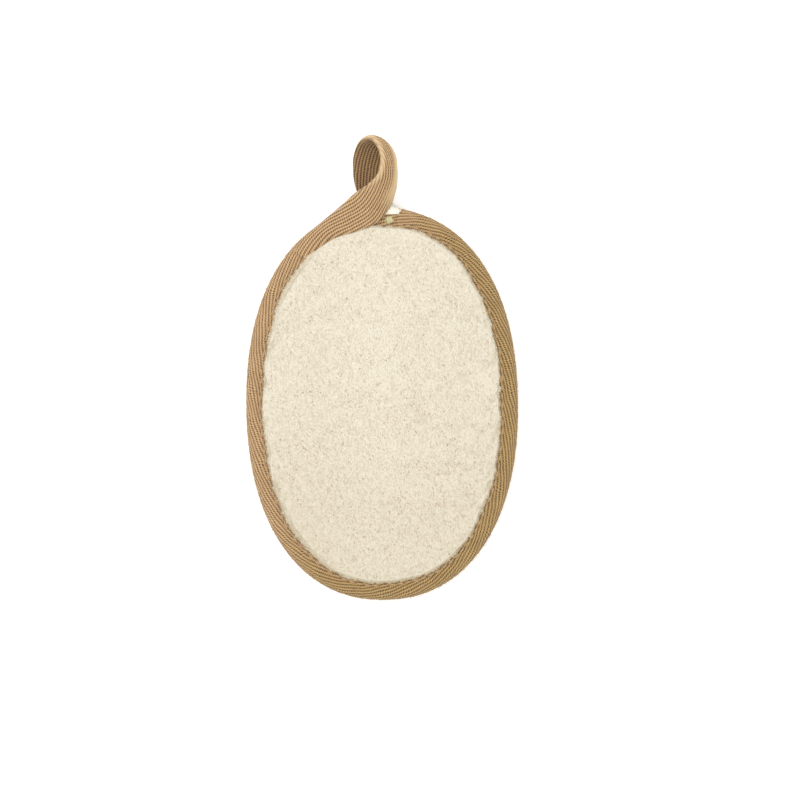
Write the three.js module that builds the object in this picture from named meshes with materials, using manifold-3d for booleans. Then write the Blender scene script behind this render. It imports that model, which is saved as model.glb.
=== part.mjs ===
// Oval bath pad: a crowned terry face and a natural loofah back, edge-bound with one
// ribbed twill tape whose free end makes the hanging loop.
// Millimetres, +Z up. The origin is the centre of the oval, on the flat that the back lies on;
// +Y points to the loop and +X to the right of someone looking at the terry face.
import * as THREE from 'three';
import { mergeVertices } from 'three/addons/utils/BufferGeometryUtils.js';
import Module from 'manifold-3d';

const wasm = await Module();
wasm.setup();

// Outline of the bound pad, a superellipse
const HALF_WIDTH = 43.0;
const HALF_LENGTH = 62.0;
const OUTLINE_POWER = 2.23;
const OUTLINE_SAMPLES = 1440;

// Bound edge: the tape turns round the edge of the pad
const EDGE_RADIUS = 3.0;
const EDGE_HEIGHT = 4.0;
const TAPE_THICKNESS = 1.2;
const FRONT_FLAP = 5.5;
const BACK_FLAP = 7.4;
// Ribs round the pad, and ribs that one straight line across the tape would meet
const RIB_COUNT = 44;
const RIB_CLIMB = 10;
const RIB_HEIGHT = 0.2;
const SEAM_INSET = 0.95;
const SEAM_GROOVE_DEPTH = 0.5;
const SEAM_GROOVE_HALF = 0.7;
const LAP_START = 5.7;
const LAP_LENGTH = 11;
const LAP_HEIGHT = 0.4;

// Seam thread
const THREAD_RADIUS = 0.28;
const THREAD_DIP = 0.1;
const STITCH_COUNT = 64;

// Gap between pieces that lie against each other, and the distance at which corners are one
const SEAT_GAP = 0.3;
const WELD = 1e-3;

// Terry face, tucked in under the tape
const TERRY_SEGMENTS = 80;
const TERRY_TUCK = 3.1;
const TERRY_TUCK_UNDER = 2.0;
const TERRY_EDGE = 1.1;
const TERRY_CENTRE = 2.2;
const CROWN_HEIGHT = 5.0;
const CROWN_POWER = 4;
const NUB_HEIGHT = 0.28;

// Loofah back
const LOOFAH_SEGMENTS = 56;
const NET_DEPTH = 1.1;
const STRAND_HALF_WIDTH = 1.15;
const STRAND_HALF_HEIGHT = 1.25;
const LONG_STRANDS = 7;
const CROSS_STRANDS = 9;

// Hanging loop: the fold edge and the free edge of the band, from where it leaves the binding
const LOOP_FOLD = [
  [-28.2, 49.4, 4.0], [-23.7, 53.8, 4.4], [-18.3, 58.3, 5.4], [-12.8, 62.7, 7.4], [-7.8, 66.9, 10.2],
  [-3.2, 69.8, 13.4], [-0.4, 72.8, 15.8], [0.5, 77.0, 16.6], [-0.4, 81.2, 15.0], [-3.1, 84.4, 11.2],
  [-6.3, 83.3, 7.2], [-8.2, 79.2, 4.0], [-8.5, 74.0, 2.9], [-7.6, 68.6, 2.7], [-5.4, 64.4, 3.2],
  [-3.9, 61.3, 3.7],
];
const LOOP_EDGE = [
  [-23.6, 46.0, 6.5], [-19.9, 49.3, 7.0], [-14.6, 52.7, 7.4], [-7.4, 54.9, 7.6], [-0.6, 57.9, 7.6],
  [3.2, 62.6, 8.5], [5.0, 67.6, 9.7], [5.3, 72.8, 10.2], [4.9, 78.0, 10.0], [2.9, 81.6, 8.2],
  [1.0, 81.6, 4.7], [0.6, 78.0, 2.8], [0.8, 73.4, 2.1], [1.8, 68.6, 2.2], [3.6, 64.6, 3.0],
  [5.3, 61.2, 3.7],
];
const LOOP_BULGE = [1.7, 1.7, 1.4, 1.1, 1.0, 1.2, 1.2, 1.0, 0.8, 0.7, 0.6, 0.6, 0.5, 0.4, 0.2, 0.0];
const LOOP_RUN = 36;
const LOOP_THICKNESS = 1.6;
const LOOP_THICKNESS_START = 0.9;
const LOOP_ROWS = 30;
const LOOP_RIBS = 5;

// Outline point at an angle from +X
function outlinePoint(angle) {
  const c = Math.cos(angle);
  const s = Math.sin(angle);
  const sum = Math.abs(c / HALF_WIDTH) ** OUTLINE_POWER + Math.abs(s / HALF_LENGTH) ** OUTLINE_POWER;
  const radius = sum ** (-1 / OUTLINE_POWER);
  return new THREE.Vector2(radius * c, radius * s);
}

// Outline walked clockwise from the middle of the top, with the length run so far
function measureOutline() {
  const points = [];
  const lengths = [0];
  for (let i = 0; i <= OUTLINE_SAMPLES; i += 1) {
    points.push(outlinePoint(Math.PI / 2 - (2 * Math.PI * i) / OUTLINE_SAMPLES));
    if (i > 0) lengths.push(lengths[i - 1] + points[i].distanceTo(points[i - 1]));
  }
  return { points, lengths, total: lengths[OUTLINE_SAMPLES] };
}

const OUTLINE = measureOutline();

// Point and outward normal of the outline at a length along it
function outlineAt(length) {
  const wrapped = THREE.MathUtils.euclideanModulo(length, OUTLINE.total);
  let low = 0;
  let high = OUTLINE_SAMPLES;
  while (high - low > 1) {
    const middle = (low + high) >> 1;
    if (OUTLINE.lengths[middle] <= wrapped) low = middle;
    else high = middle;
  }
  const share = (wrapped - OUTLINE.lengths[low]) / (OUTLINE.lengths[high] - OUTLINE.lengths[low]);
  const point = OUTLINE.points[low].clone().lerp(OUTLINE.points[high], share);
  const normal = new THREE.Vector2(
    Math.sign(point.x) * Math.abs(point.x / HALF_WIDTH) ** (OUTLINE_POWER - 1) / HALF_WIDTH,
    Math.sign(point.y) * Math.abs(point.y / HALF_LENGTH) ** (OUTLINE_POWER - 1) / HALF_LENGTH,
  ).normalize();
  return { point, normal };
}

// Point at an inset from the outline and a height
function insetPoint(length, inset, height) {
  const { point, normal } = outlineAt(length);
  return new THREE.Vector3(point.x - inset * normal.x, point.y - inset * normal.y, height);
}

// How far the front flap reaches in from the edge: a little wider on the right, with a slight wave
function frontFlap(length) {
  const turn = (2 * Math.PI * length) / OUTLINE.total;
  return FRONT_FLAP + 0.1 * Math.sin(turn) + 0.14 * Math.sin(9 * turn) + 0.1 * Math.sin(17 * turn + 1);
}

// Middle line of the tape's section, as inset and height at a width run from the front flap's
// edge, with the direction that points out of the pad. It lies at a radius of the edge's round.
function tapeSection(length, radius, share) {
  const front = frontFlap(length) - EDGE_RADIUS;
  const round = Math.PI * radius;
  const back = BACK_FLAP - EDGE_RADIUS;
  const run = share * (front + round + back);
  if (run < front) return { inset: EDGE_RADIUS + front - run, height: EDGE_HEIGHT + radius, out: [0, 1] };
  if (run > front + round) {
    return { inset: EDGE_RADIUS + run - front - round, height: EDGE_HEIGHT - radius, out: [0, -1] };
  }
  const turn = (run - front) / radius;
  return {
    inset: EDGE_RADIUS - radius * Math.sin(turn),
    height: EDGE_HEIGHT + radius * Math.cos(turn),
    out: [-Math.sin(turn), Math.cos(turn)],
  };
}

// Tape surface point, lifted out of the pad by an amount
function tapePoint(length, radius, share, lift) {
  const section = tapeSection(length, radius, share);
  const inset = section.inset + lift * section.out[0];
  return insetPoint(length, inset, section.height + lift * section.out[1]);
}

// Closed mesh from a grid of points. Each row closes on the row that lies a twist further on, the
// rows may close into a ring, and open rows end in a cap.
function gridGeometry(rows, rowsClose, twist = 0) {
  const columns = rows[0].length;
  const position = rows.flat().flatMap((point) => [point.x, point.y, point.z]);
  const index = [];
  const last = rowsClose ? rows.length : rows.length - 1;
  for (let i = 0; i < last; i += 1) {
    const next = (i + 1) % rows.length;
    for (let j = 0; j < columns; j += 1) {
      const side = (j + 1) % columns;
      const shift = side ? 0 : twist;
      const a = i * columns + j;
      const b = next * columns + j;
      const c = ((next + shift) % rows.length) * columns + side;
      const d = ((i + shift) % rows.length) * columns + side;
      index.push(a, b, d, b, c, d);
    }
  }
  if (!rowsClose) {
    addCap(index, columns, 0, true);
    addCap(index, columns, (rows.length - 1) * columns, false);
  }
  return outwardGeometry(position, index);
}

// Ladder of triangles that closes a row, rung by rung from its first and last points inwards
function addCap(index, count, start, forward) {
  for (let low = 0, high = count - 1; low + 1 < high; low += 1, high -= 1) {
    const corners = [[low, low + 1, high]];
    if (low + 1 < high - 1) corners.push([low + 1, high - 1, high]);
    for (const [a, b, c] of corners) {
      if (forward) index.push(start + a, start + b, start + c);
      else index.push(start + a, start + c, start + b);
    }
  }
}

// Geometry with its faces pointing out, whichever way the grid was walked
function outwardGeometry(position, index) {
  let volume = 0;
  const corner = (i) => new THREE.Vector3().fromArray(position, 3 * i);
  for (let i = 0; i < index.length; i += 3) {
    volume += corner(index[i]).dot(corner(index[i + 1]).cross(corner(index[i + 2])));
  }
  if (volume < 0) {
    for (let i = 0; i < index.length; i += 3) [index[i], index[i + 1]] = [index[i + 1], index[i]];
  }
  const geometry = new THREE.BufferGeometry();
  geometry.setAttribute('position', new THREE.Float32BufferAttribute(position, 3));
  geometry.setIndex(index);
  return geometry;
}

// Solid from a geometry, and back
function toSolid(geometry) {
  return new wasm.Manifold(new wasm.Mesh({
    numProp: 3,
    vertProperties: new Float32Array(geometry.getAttribute('position').array),
    triVerts: new Uint32Array(geometry.getIndex().array),
  }));
}

function toGeometry(solid) {
  const mesh = solid.getMesh();
  const geometry = new THREE.BufferGeometry();
  geometry.setAttribute('position', new THREE.BufferAttribute(new Float32Array(mesh.vertProperties), 3));
  geometry.setIndex(new THREE.BufferAttribute(new Uint32Array(mesh.triVerts), 1));
  return geometry;
}

// Groove that the stitching presses into the tape, at a width run from either edge of it
function seamGroove(run) {
  const off = Math.abs(run - SEAM_INSET);
  return off < SEAM_GROOVE_HALF ? SEAM_GROOVE_DEPTH * (1 - off / SEAM_GROOVE_HALF) : 0;
}

// Shares of the tape's width where its outer face has a column of points
function tapeShares(width) {
  const seam = [0, SEAM_INSET - SEAM_GROOVE_HALF, SEAM_INSET, SEAM_INSET + SEAM_GROOVE_HALF];
  const middle = [3.1, 4.7, 6.3, 7.8, 9.4, 11.0, 12.5];
  const all = [...seam, ...middle, ...seam.map((run) => width - run).reverse()];
  return all.map((run) => run / width);
}

// Binding: the tape turned round the edge. Each row of points is one rib or one groove of the
// twill, which climbs across the tape as it runs clockwise, so the rows lean with the weave. The
// lining isn't ribbed: its rows run straight across, from where an outer row ends to where the
// outer row that lies a climb further on starts.
function bindingGeometry() {
  const width = FRONT_FLAP + BACK_FLAP - 2 * EDGE_RADIUS + Math.PI * EDGE_RADIUS;
  const outer = tapeShares(width);
  const inner = [1, 0.665, 0.558, 0.45, 0.343, 0.236, 0];
  const pitch = OUTLINE.total / (2 * RIB_COUNT);
  const climb = 2 * RIB_CLIMB * pitch;
  const rows = [];
  for (let k = 0; k < 2 * RIB_COUNT; k += 1) {
    const start = k * pitch;
    const rib = k % 2 ? RIB_HEIGHT : 0;
    const row = outer.map((share) => {
      const run = share * width;
      const groove = seamGroove(run) + seamGroove(width - run);
      return tapePoint(start + share * climb, EDGE_RADIUS, share, groove > 0 ? -groove : rib);
    });
    const lining = inner.map((share) => tapePoint(start + climb, EDGE_RADIUS - TAPE_THICKNESS, share, 0));
    rows.push([...row, ...lining]);
  }
  return gridGeometry(rows, true, 2 * RIB_CLIMB);
}

// Cut end of the tape at the top right, where the binding starts: a square-ended lap
function lapGeometry() {
  const shares = [0.02, 0.1, 0.2, 0.3, 0.4, 0.5, 0.6, 0.7, 0.8, 0.87];
  const rows = [0, 0.33, 0.67, 1].map((share) => {
    const length = LAP_START + share * LAP_LENGTH;
    const lift = RIB_HEIGHT + LAP_HEIGHT * (1 - share) - 0.3 * share;
    const outer = shares.map((part) => tapePoint(length, EDGE_RADIUS, part, lift));
    const inner = [...shares].reverse().map((part) => tapePoint(length, EDGE_RADIUS, part, -0.45));
    return [...outer, ...inner];
  });
  return gridGeometry(rows, false);
}

// Smooth curve through points given as lists
function smoothCurve(points) {
  return new THREE.CatmullRomCurve3(points.map((point) => new THREE.Vector3(...point)), false, 'centripetal');
}

// Loop: a ribbed band swept between its two edges, bowed out towards its outer face
function loopGeometry() {
  const fold = smoothCurve(LOOP_FOLD);
  const edge = smoothCurve(LOOP_EDGE);
  const rows = [];
  for (let i = 0; i <= LOOP_ROWS; i += 1) {
    rows.push(loopRow(fold, edge, i / LOOP_ROWS));
  }
  return gridGeometry(rows, false);
}

// Value from a list at a share of its length
function listAt(list, share) {
  const at = share * (list.length - 1);
  const low = Math.min(Math.floor(at), list.length - 2);
  return THREE.MathUtils.lerp(list[low], list[low + 1], at - low);
}

// One section of the loop: ribs along both faces, thin at the two edges
function loopRow(fold, edge, share) {
  const a = fold.getPoint(share);
  const b = edge.getPoint(share);
  const across = b.clone().sub(a);
  const along = fold.getTangent(share).add(edge.getTangent(share)).normalize();
  const out = across.clone().cross(along).normalize();
  const bulge = listAt(LOOP_BULGE, share);
  const full = THREE.MathUtils.lerp(LOOP_THICKNESS_START, LOOP_THICKNESS, Math.min(1, share * 5));
  const columns = 2 * LOOP_RIBS;
  const face = (side) => {
    const points = [];
    for (let j = 0; j <= columns; j += 1) {
      const v = j / columns;
      const bow = 4 * v * (1 - v);
      const half = full * (0.22 + 0.28 * Math.min(1, 3 * bow)) + (j % 2 ? RIB_HEIGHT : 0);
      points.push(a.clone().addScaledVector(across, v).addScaledVector(out, bulge * bow + side * half));
    }
    return points;
  };
  return [...face(-1), ...face(1).reverse()];
}

// The largest body of a solid, without any sealed pocket or loose sliver of its joints
function mainBody(solid) {
  const welded = toSolid(mergeVertices(toGeometry(solid), WELD));
  const bodies = welded.decompose();
  return bodies.reduce((best, body) => (body.volume() > best.volume() ? body : best));
}

function tapeGeometry() {
  const tape = toSolid(bindingGeometry()).add(toSolid(lapGeometry())).add(toSolid(loopGeometry()));
  return toGeometry(mainBody(tape));
}

// Seam thread: a three-sided strand that lies in the stitched groove and dips at each hole.
// At the front it runs between the lap and the loop, and at the back all the way round.
function threadGeometry(side) {
  const start = side > 0 ? LAP_START + LAP_LENGTH + 1 : 0;
  const run = OUTLINE.total - (side > 0 ? start + LOOP_RUN : 0);
  const rows = [];
  for (let i = 0; i < 2 * STITCH_COUNT; i += 1) {
    const length = start + (run * i) / (2 * STITCH_COUNT);
    const inset = (side > 0 ? frontFlap(length) : BACK_FLAP) - SEAM_INSET;
    const radius = EDGE_RADIUS - SEAM_GROOVE_DEPTH + SEAT_GAP + THREAD_RADIUS + (i % 2 ? 0 : THREAD_DIP);
    const height = EDGE_HEIGHT + side * radius;
    rows.push([90, 210, 330].map((angle) => {
      const turn = THREE.MathUtils.degToRad(side * angle);
      return insetPoint(length, inset + THREAD_RADIUS * Math.cos(turn), height + THREAD_RADIUS * Math.sin(turn));
    }));
  }
  return gridGeometry(rows, side < 0);
}

// Stack of rings closed by a middle point above and below
function ringStackGeometry(rings, top, bottom) {
  const segments = rings[0].length;
  const position = rings.flat().flatMap((point) => [point.x, point.y, point.z]);
  const index = [];
  for (let i = 0; i < rings.length - 1; i += 1) {
    for (let j = 0; j < segments; j += 1) {
      const next = (j + 1) % segments;
      const a = i * segments + j;
      const b = (i + 1) * segments + j;
      index.push(a, b, (i + 1) * segments + next, a, (i + 1) * segments + next, i * segments + next);
    }
  }
  const hubs = [[top, 0], [bottom, (rings.length - 1) * segments]];
  hubs.forEach(([hub, start], end) => {
    const centre = position.length / 3;
    position.push(hub.x, hub.y, hub.z);
    for (let j = 0; j < segments; j += 1) {
      const next = (j + 1) % segments;
      if (end) index.push(start + j, centre, start + next);
      else index.push(centre, start + j, start + next);
    }
  });
  return outwardGeometry(position, index);
}

// Ring at an inset, or at one that changes along it, with a height for each of its points
function insetRing(segments, inset, heightAt) {
  const ring = [];
  for (let j = 0; j < segments; j += 1) {
    const length = (OUTLINE.total * j) / segments;
    const point = insetPoint(length, typeof inset === 'function' ? inset(length) : inset, 0);
    point.z = heightAt(point);
    ring.push(point);
  }
  return ring;
}

// Ring drawn in towards the middle from an inset, by a share
function drawnRing(segments, inset, share, heightAt) {
  return insetRing(segments, inset, () => 0).map((point) => {
    const drawn = new THREE.Vector3(share * point.x, share * point.y, 0);
    drawn.z = heightAt(drawn);
    return drawn;
  });
}

// Low nubs of the terry, two crossing waves
function nubs(x, y) {
  const waves = Math.sin(0.36 * x + 0.13 * y) * Math.sin(0.11 * x - 0.34 * y + 1)
    + 0.5 * Math.sin(0.21 * x + 0.45 * y + 2) * Math.sin(0.43 * x - 0.17 * y);
  return NUB_HEIGHT * waves;
}

const TERRY_RIM = EDGE_HEIGHT + EDGE_RADIUS - TAPE_THICKNESS - SEAT_GAP;

function terryGeometry() {
  const segments = TERRY_SEGMENTS;
  const open = (length) => frontFlap(length) + 0.4;
  const rim = TERRY_RIM;
  const crown = (share) => CROWN_HEIGHT * (1 - share ** CROWN_POWER);
  const rings = [insetRing(segments, TERRY_TUCK, () => rim), insetRing(segments, open, () => rim)];
  const shares = [0.955, 0.9, 0.835, 0.765, 0.69, 0.61, 0.525, 0.435, 0.34, 0.24, 0.13];
  for (const share of shares) {
    const height = rim + crown(share);
    rings.push(drawnRing(segments, open, share, (point) => height + nubs(point.x, point.y)));
  }
  const under = [[0.25, 2.15], [0.55, 2.0], [0.8, 1.7], [0.93, 1.4], [1, TERRY_EDGE]].map(([share, thick]) => (
    drawnRing(segments, open, share, () => rim + crown(share) - thick)
  ));
  const rimUnder = insetRing(segments, TERRY_TUCK_UNDER, () => rim - TERRY_EDGE);
  const centre = rim + crown(0);
  const top = new THREE.Vector3(0, 0, centre);
  const bottom = new THREE.Vector3(0, 0, centre - TERRY_CENTRE);
  return ringStackGeometry([...rings.reverse(), rimUnder, ...under.reverse()], top, bottom);
}

// Underside of the loofah between the strands: flat in the middle, drawn up at the binding
function loofahBase(share) {
  const edge = EDGE_HEIGHT - EDGE_RADIUS + TAPE_THICKNESS + SEAT_GAP + 0.1;
  const rise = THREE.MathUtils.smoothstep(share, 0.84, 1);
  return THREE.MathUtils.lerp(NET_DEPTH, edge, rise);
}

function loofahSlabGeometry() {
  const segments = LOOFAH_SEGMENTS;
  const open = BACK_FLAP + 1;
  const rim = TERRY_RIM - TERRY_EDGE - SEAT_GAP;
  const crown = (share) => CROWN_HEIGHT * (1 - share ** CROWN_POWER);
  const edge = loofahBase(1);
  const upper = [[0.3, 1.2], [0.6, 1.05], [0.82, 0.85], [0.93, 0.5], [1, 0.1]].map(([share, dip]) => (
    drawnRing(segments, FRONT_FLAP + 0.8, share, () => rim + crown(share) - dip)
  ));
  const sides = [[2.1, rim], [1.85, 3.5], [3.1, edge]].map(([inset, height]) => (
    insetRing(segments, inset, () => height)
  ));
  const lower = [1, 0.93, 0.84, 0.5].map((share) => (
    drawnRing(segments, open, share, () => loofahBase(share))
  ));
  const top = new THREE.Vector3(0, 0, rim + CROWN_HEIGHT - TERRY_CENTRE + TERRY_EDGE - 0.1);
  const bottom = new THREE.Vector3(0, 0, NET_DEPTH);
  return ringStackGeometry([...upper, ...sides, ...lower], top, bottom);
}

// Share of the way from the middle to the rim of the open back
function backShare(x, y) {
  const a = HALF_WIDTH - BACK_FLAP - 1.2;
  const b = HALF_LENGTH - BACK_FLAP - 1.2;
  return (Math.abs(x / a) ** OUTLINE_POWER + Math.abs(y / b) ** OUTLINE_POWER) ** (1 / OUTLINE_POWER);
}

// One strand of the raised net, four-sided, following the underside of the slab
function strandGeometry(points) {
  const curve = smoothCurve(points.map(([x, y]) => [x, y, 0]));
  const count = Math.max(5, Math.round(curve.getLength() / 9));
  const rows = [];
  for (let i = 0; i <= count; i += 1) {
    const at = curve.getPoint(i / count);
    const along = curve.getTangent(i / count);
    const height = loofahBase(Math.min(1, backShare(at.x, at.y))) - 0.2;
    const side = [along.y * STRAND_HALF_WIDTH, -along.x * STRAND_HALF_WIDTH];
    rows.push([
      new THREE.Vector3(at.x + side[0], at.y + side[1], height + 0.4),
      new THREE.Vector3(at.x + 0.55 * side[0], at.y + 0.55 * side[1], height - STRAND_HALF_HEIGHT),
      new THREE.Vector3(at.x - 0.55 * side[0], at.y - 0.55 * side[1], height - STRAND_HALF_HEIGHT),
      new THREE.Vector3(at.x - side[0], at.y - side[1], height + 0.4),
    ]);
  }
  return gridGeometry(rows, false);
}

// Paths of the net: strands along the pad that spread at the middle, and strands across it that
// lean one way and the other
function strandPaths() {
  const a = HALF_WIDTH - BACK_FLAP - 2.8;
  const b = HALF_LENGTH - BACK_FLAP - 2.8;
  const middleLong = (LONG_STRANDS - 1) / 2;
  const middleCross = (CROSS_STRANDS - 1) / 2;
  const paths = [];
  for (let i = 0; i < LONG_STRANDS; i += 1) {
    const x = (a - 2.4) * ((2 * i) / (LONG_STRANDS - 1) - 1);
    const reach = b * (1 - Math.abs(x / a) ** OUTLINE_POWER) ** (1 / OUTLINE_POWER);
    const path = [];
    for (let k = 0; k <= 8; k += 1) {
      const t = k / 4 - 1;
      const wave = 1.5 * Math.sin(2.6 * (i - middleLong) + 5.1 * t) * (1 - t ** 4);
      path.push([x * (1 - 0.1 * t * t) + wave, reach * t]);
    }
    paths.push(path);
  }
  for (let i = 0; i < CROSS_STRANDS; i += 1) {
    const y = (b - 5) * ((2 * i) / (CROSS_STRANDS - 1) - 1);
    const lean = (i % 2 ? 0.16 : -0.13) * (1 - Math.abs(y) / b);
    const reach = a * (1 - Math.abs(y / b) ** OUTLINE_POWER) ** (1 / OUTLINE_POWER);
    const path = [];
    for (let k = 0; k <= 6; k += 1) {
      const t = k / 3 - 1;
      const wave = 1.2 * Math.sin(1.9 * (i - middleCross) + 4.3 * t) * (1 - t ** 4);
      path.push([0.97 * reach * t, y + lean * reach * t + wave]);
    }
    paths.push(path);
  }
  return paths;
}

// Loofah: the slab and its raised net as one body, pressed flat where it lies
function loofahGeometry() {
  let body = toSolid(loofahSlabGeometry());
  for (const path of strandPaths()) body = body.add(toSolid(strandGeometry(path)));
  const below = new THREE.BoxGeometry(3 * HALF_WIDTH, 3 * HALF_LENGTH, 10);
  below.deleteAttribute('normal');
  below.deleteAttribute('uv');
  below.translate(0, 0, -5);
  return toGeometry(mainBody(body.subtract(toSolid(mergeVertices(below, WELD)))));
}

function addPiece(group, name, geometry, colour, roughness) {
  geometry.computeVertexNormals();
  const material = new THREE.MeshStandardMaterial({ color: colour, roughness, metalness: 0 });
  const mesh = new THREE.Mesh(geometry, material);
  mesh.name = name;
  group.add(mesh);
}

const pad = new THREE.Group();
addPiece(pad, 'terry_face', terryGeometry(), '#ebe3cd', 0.95);
addPiece(pad, 'loofah_body', loofahGeometry(), '#d9c08f', 0.85);
addPiece(pad, 'twill_tape', tapeGeometry(), '#b59670', 0.85);
addPiece(pad, 'seam_thread_front', threadGeometry(1), '#c2a47c', 0.7);
addPiece(pad, 'seam_thread_back', threadGeometry(-1), '#c2a47c', 0.7);

export default pad;
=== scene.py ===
"""Oval bath pad with a terry face, a loofah back and a bound edge that ends in a hanging loop."""

import logging
import math
from dataclasses import dataclass, field
from enum import Enum

import bpy
import numpy as np
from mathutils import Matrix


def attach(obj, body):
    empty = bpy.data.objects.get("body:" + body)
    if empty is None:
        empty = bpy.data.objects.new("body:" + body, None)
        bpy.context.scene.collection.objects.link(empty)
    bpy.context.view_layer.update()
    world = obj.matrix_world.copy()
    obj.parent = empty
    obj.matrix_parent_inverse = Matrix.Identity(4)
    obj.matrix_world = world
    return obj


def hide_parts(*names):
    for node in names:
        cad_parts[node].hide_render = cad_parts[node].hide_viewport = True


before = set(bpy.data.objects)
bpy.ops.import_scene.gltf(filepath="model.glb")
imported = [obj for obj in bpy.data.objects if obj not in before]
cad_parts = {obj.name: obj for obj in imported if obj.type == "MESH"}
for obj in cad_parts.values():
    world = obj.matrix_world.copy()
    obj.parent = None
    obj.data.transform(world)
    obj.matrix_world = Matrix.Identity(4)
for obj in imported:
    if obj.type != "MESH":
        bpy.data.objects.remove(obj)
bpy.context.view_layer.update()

LOG = logging.getLogger("pad")
MM = 0.001
BODY = "root"
GOLDEN_ANGLE = 2.399963
WHITE = (1.0, 1.0, 1.0, 1.0)
# Places along the pad, in metres from its middle, between which painted shade darkens it towards its foot
FOOT = (0.01, -0.05)
SEED = 7


class Side(Enum):
    """The two faces of the pad, as the sign of their height."""

    FRONT = 1
    BACK = -1


def srgb(red: float, green: float, blue: float) -> tuple[float, float, float, float]:
    """Linear colour of a display colour.

    Args:
        red, green, blue: Display values from 0 to 255.

    Returns:
        Linear red, green and blue from 0 to 1, and an alpha of one.
    """
    share = np.array([red, green, blue]) / 255.0
    low = share / 12.92
    high = ((share + 0.055) / 1.055) ** 2.4
    linear = np.where(share <= 0.04045, low, high)
    return (float(linear[0]), float(linear[1]), float(linear[2]), 1.0)


def smooth(edge0: float, edge1: float, value: np.ndarray) -> np.ndarray:
    """Soft step from 0 to 1 between two edges: 3t squared less 2t cubed."""
    share = np.clip((value - edge0) / (edge1 - edge0), 0.0, 1.0)
    return share * share * (3.0 - 2.0 * share)


def unit(vectors: np.ndarray) -> np.ndarray:
    """Vectors at length one."""
    return vectors / np.maximum(np.linalg.norm(vectors, axis=-1, keepdims=True), 1e-9)


def waves(x: np.ndarray, y: np.ndarray, pitch: float, seed: float) -> np.ndarray:
    """Soft irregular field between about -1 and 1.

    It is the mean of five plane waves whose directions turn by the golden angle and whose
    pitches differ by up to a third.

    Args:
        x, y: Places in millimetres.
        pitch: Mean wave length in millimetres.
        seed: Turns and shifts the field.

    Returns:
        The field at each place.
    """
    total = np.zeros(np.broadcast(x, y).shape)
    for step in range(5):
        turn = seed + GOLDEN_ANGLE * step
        number = 2 * math.pi / (pitch * (0.75 + 0.14 * step))
        total += np.sin(number * (x * math.cos(turn) + y * math.sin(turn)) + 3.7 * seed * (step + 1))
    return total / 2.6


# Meshes


def finish_mesh(name: str, points: np.ndarray, loops: np.ndarray, sizes: np.ndarray) -> bpy.types.Object:
    """Object from flat arrays, smooth shaded.

    Args:
        name: Name of the piece.
        points: Vertices in millimetres, one row each.
        loops: Vertex numbers of all faces, one face after another.
        sizes: Number of corners of each face.

    Returns:
        The object, linked to the scene, at the origin.
    """
    mesh = bpy.data.meshes.new(name)
    mesh.vertices.add(len(points))
    mesh.vertices.foreach_set("co", (points * MM).astype(np.float32).ravel())
    mesh.loops.add(len(loops))
    mesh.loops.foreach_set("vertex_index", loops.astype(np.int32))
    mesh.polygons.add(len(sizes))
    starts = np.concatenate([[0], np.cumsum(sizes)[:-1]])
    mesh.polygons.foreach_set("loop_start", starts.astype(np.int32))
    mesh.polygons.foreach_set("use_smooth", np.ones(len(sizes), dtype=bool))
    mesh.update(calc_edges=True)
    mesh.validate()
    obj = bpy.data.objects.new(name, mesh)
    bpy.context.scene.collection.objects.link(obj)
    return obj


def band_quads(rows: int, columns: int, spans: int) -> np.ndarray:
    """Quads between neighbouring rows of a grid whose columns close on themselves.

    Args:
        rows, columns: Size of the grid.
        spans: Number of bands: the rows less one, or all the rows where they close too.

    Returns:
        Vertex numbers, one quad in each row.
    """
    i, j = np.meshgrid(np.arange(spans), np.arange(columns), indexing="ij")
    near, far, side = i * columns, (i + 1) % rows * columns, (j + 1) % columns
    return np.stack([near + j, far + j, far + side, near + side], -1).reshape(-1, 4)


def volume_of(points: np.ndarray, quads: np.ndarray) -> float:
    """Signed volume of a quad mesh: the sum of its faces' cones from the origin.

    Args:
        points: Vertices, one row each.
        quads: Vertex numbers, one quad in each row.

    Returns:
        The volume, below zero where the faces point inwards.
    """
    a, b, c, d = (points[quads[:, k]] for k in range(4))
    first = np.einsum("ij,ij->i", a, np.cross(b, c))
    second = np.einsum("ij,ij->i", a, np.cross(c, d))
    return float((first + second).sum() / 6.0)


def grid_piece(
    name: str,
    grid: np.ndarray,
    close_rows: bool = False,
    uv: np.ndarray | None = None,
) -> bpy.types.Object:
    """Closed tube or ring from a grid of points whose columns close on themselves.

    Args:
        name: Name of the piece.
        grid: Points, rows by columns by 3, in millimetres.
        close_rows: Joins the last row to the first; otherwise both ends get a cap.
        uv: Pattern coordinates of the corners, one row and one column more than the faces have.

    Returns:
        The piece.
    """
    rows, columns = grid.shape[:2]
    quads = band_quads(rows, columns, rows if close_rows else rows - 1)
    points = grid.reshape(-1, 3)
    corner = None
    if uv is not None:
        corner = np.stack([uv[:-1, :-1], uv[1:, :-1], uv[1:, 1:], uv[:-1, 1:]], 2).reshape(-1, 4, 2)
    flip = volume_of(points, quads) < 0
    if flip:
        quads = quads[:, ::-1]
        corner = None if corner is None else corner[:, ::-1]
    loops, sizes = [quads.ravel()], [np.full(len(quads), 4)]
    if not close_rows:
        first = np.arange(columns)
        last = (rows - 1) * columns + first[::-1]
        ends = [first[::-1], last[::-1]] if flip else [first, last]
        loops += ends
        sizes.append(np.array([columns, columns]))
    obj = finish_mesh(name, points, np.concatenate(loops), np.concatenate(sizes))
    if corner is not None:
        layer = obj.data.uv_layers.new(name="pattern")
        flat = np.zeros((len(obj.data.loops), 2), dtype=np.float32)
        flat[: quads.size] = corner.reshape(-1, 2)
        layer.data.foreach_set("uv", flat.ravel())
    return obj


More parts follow.
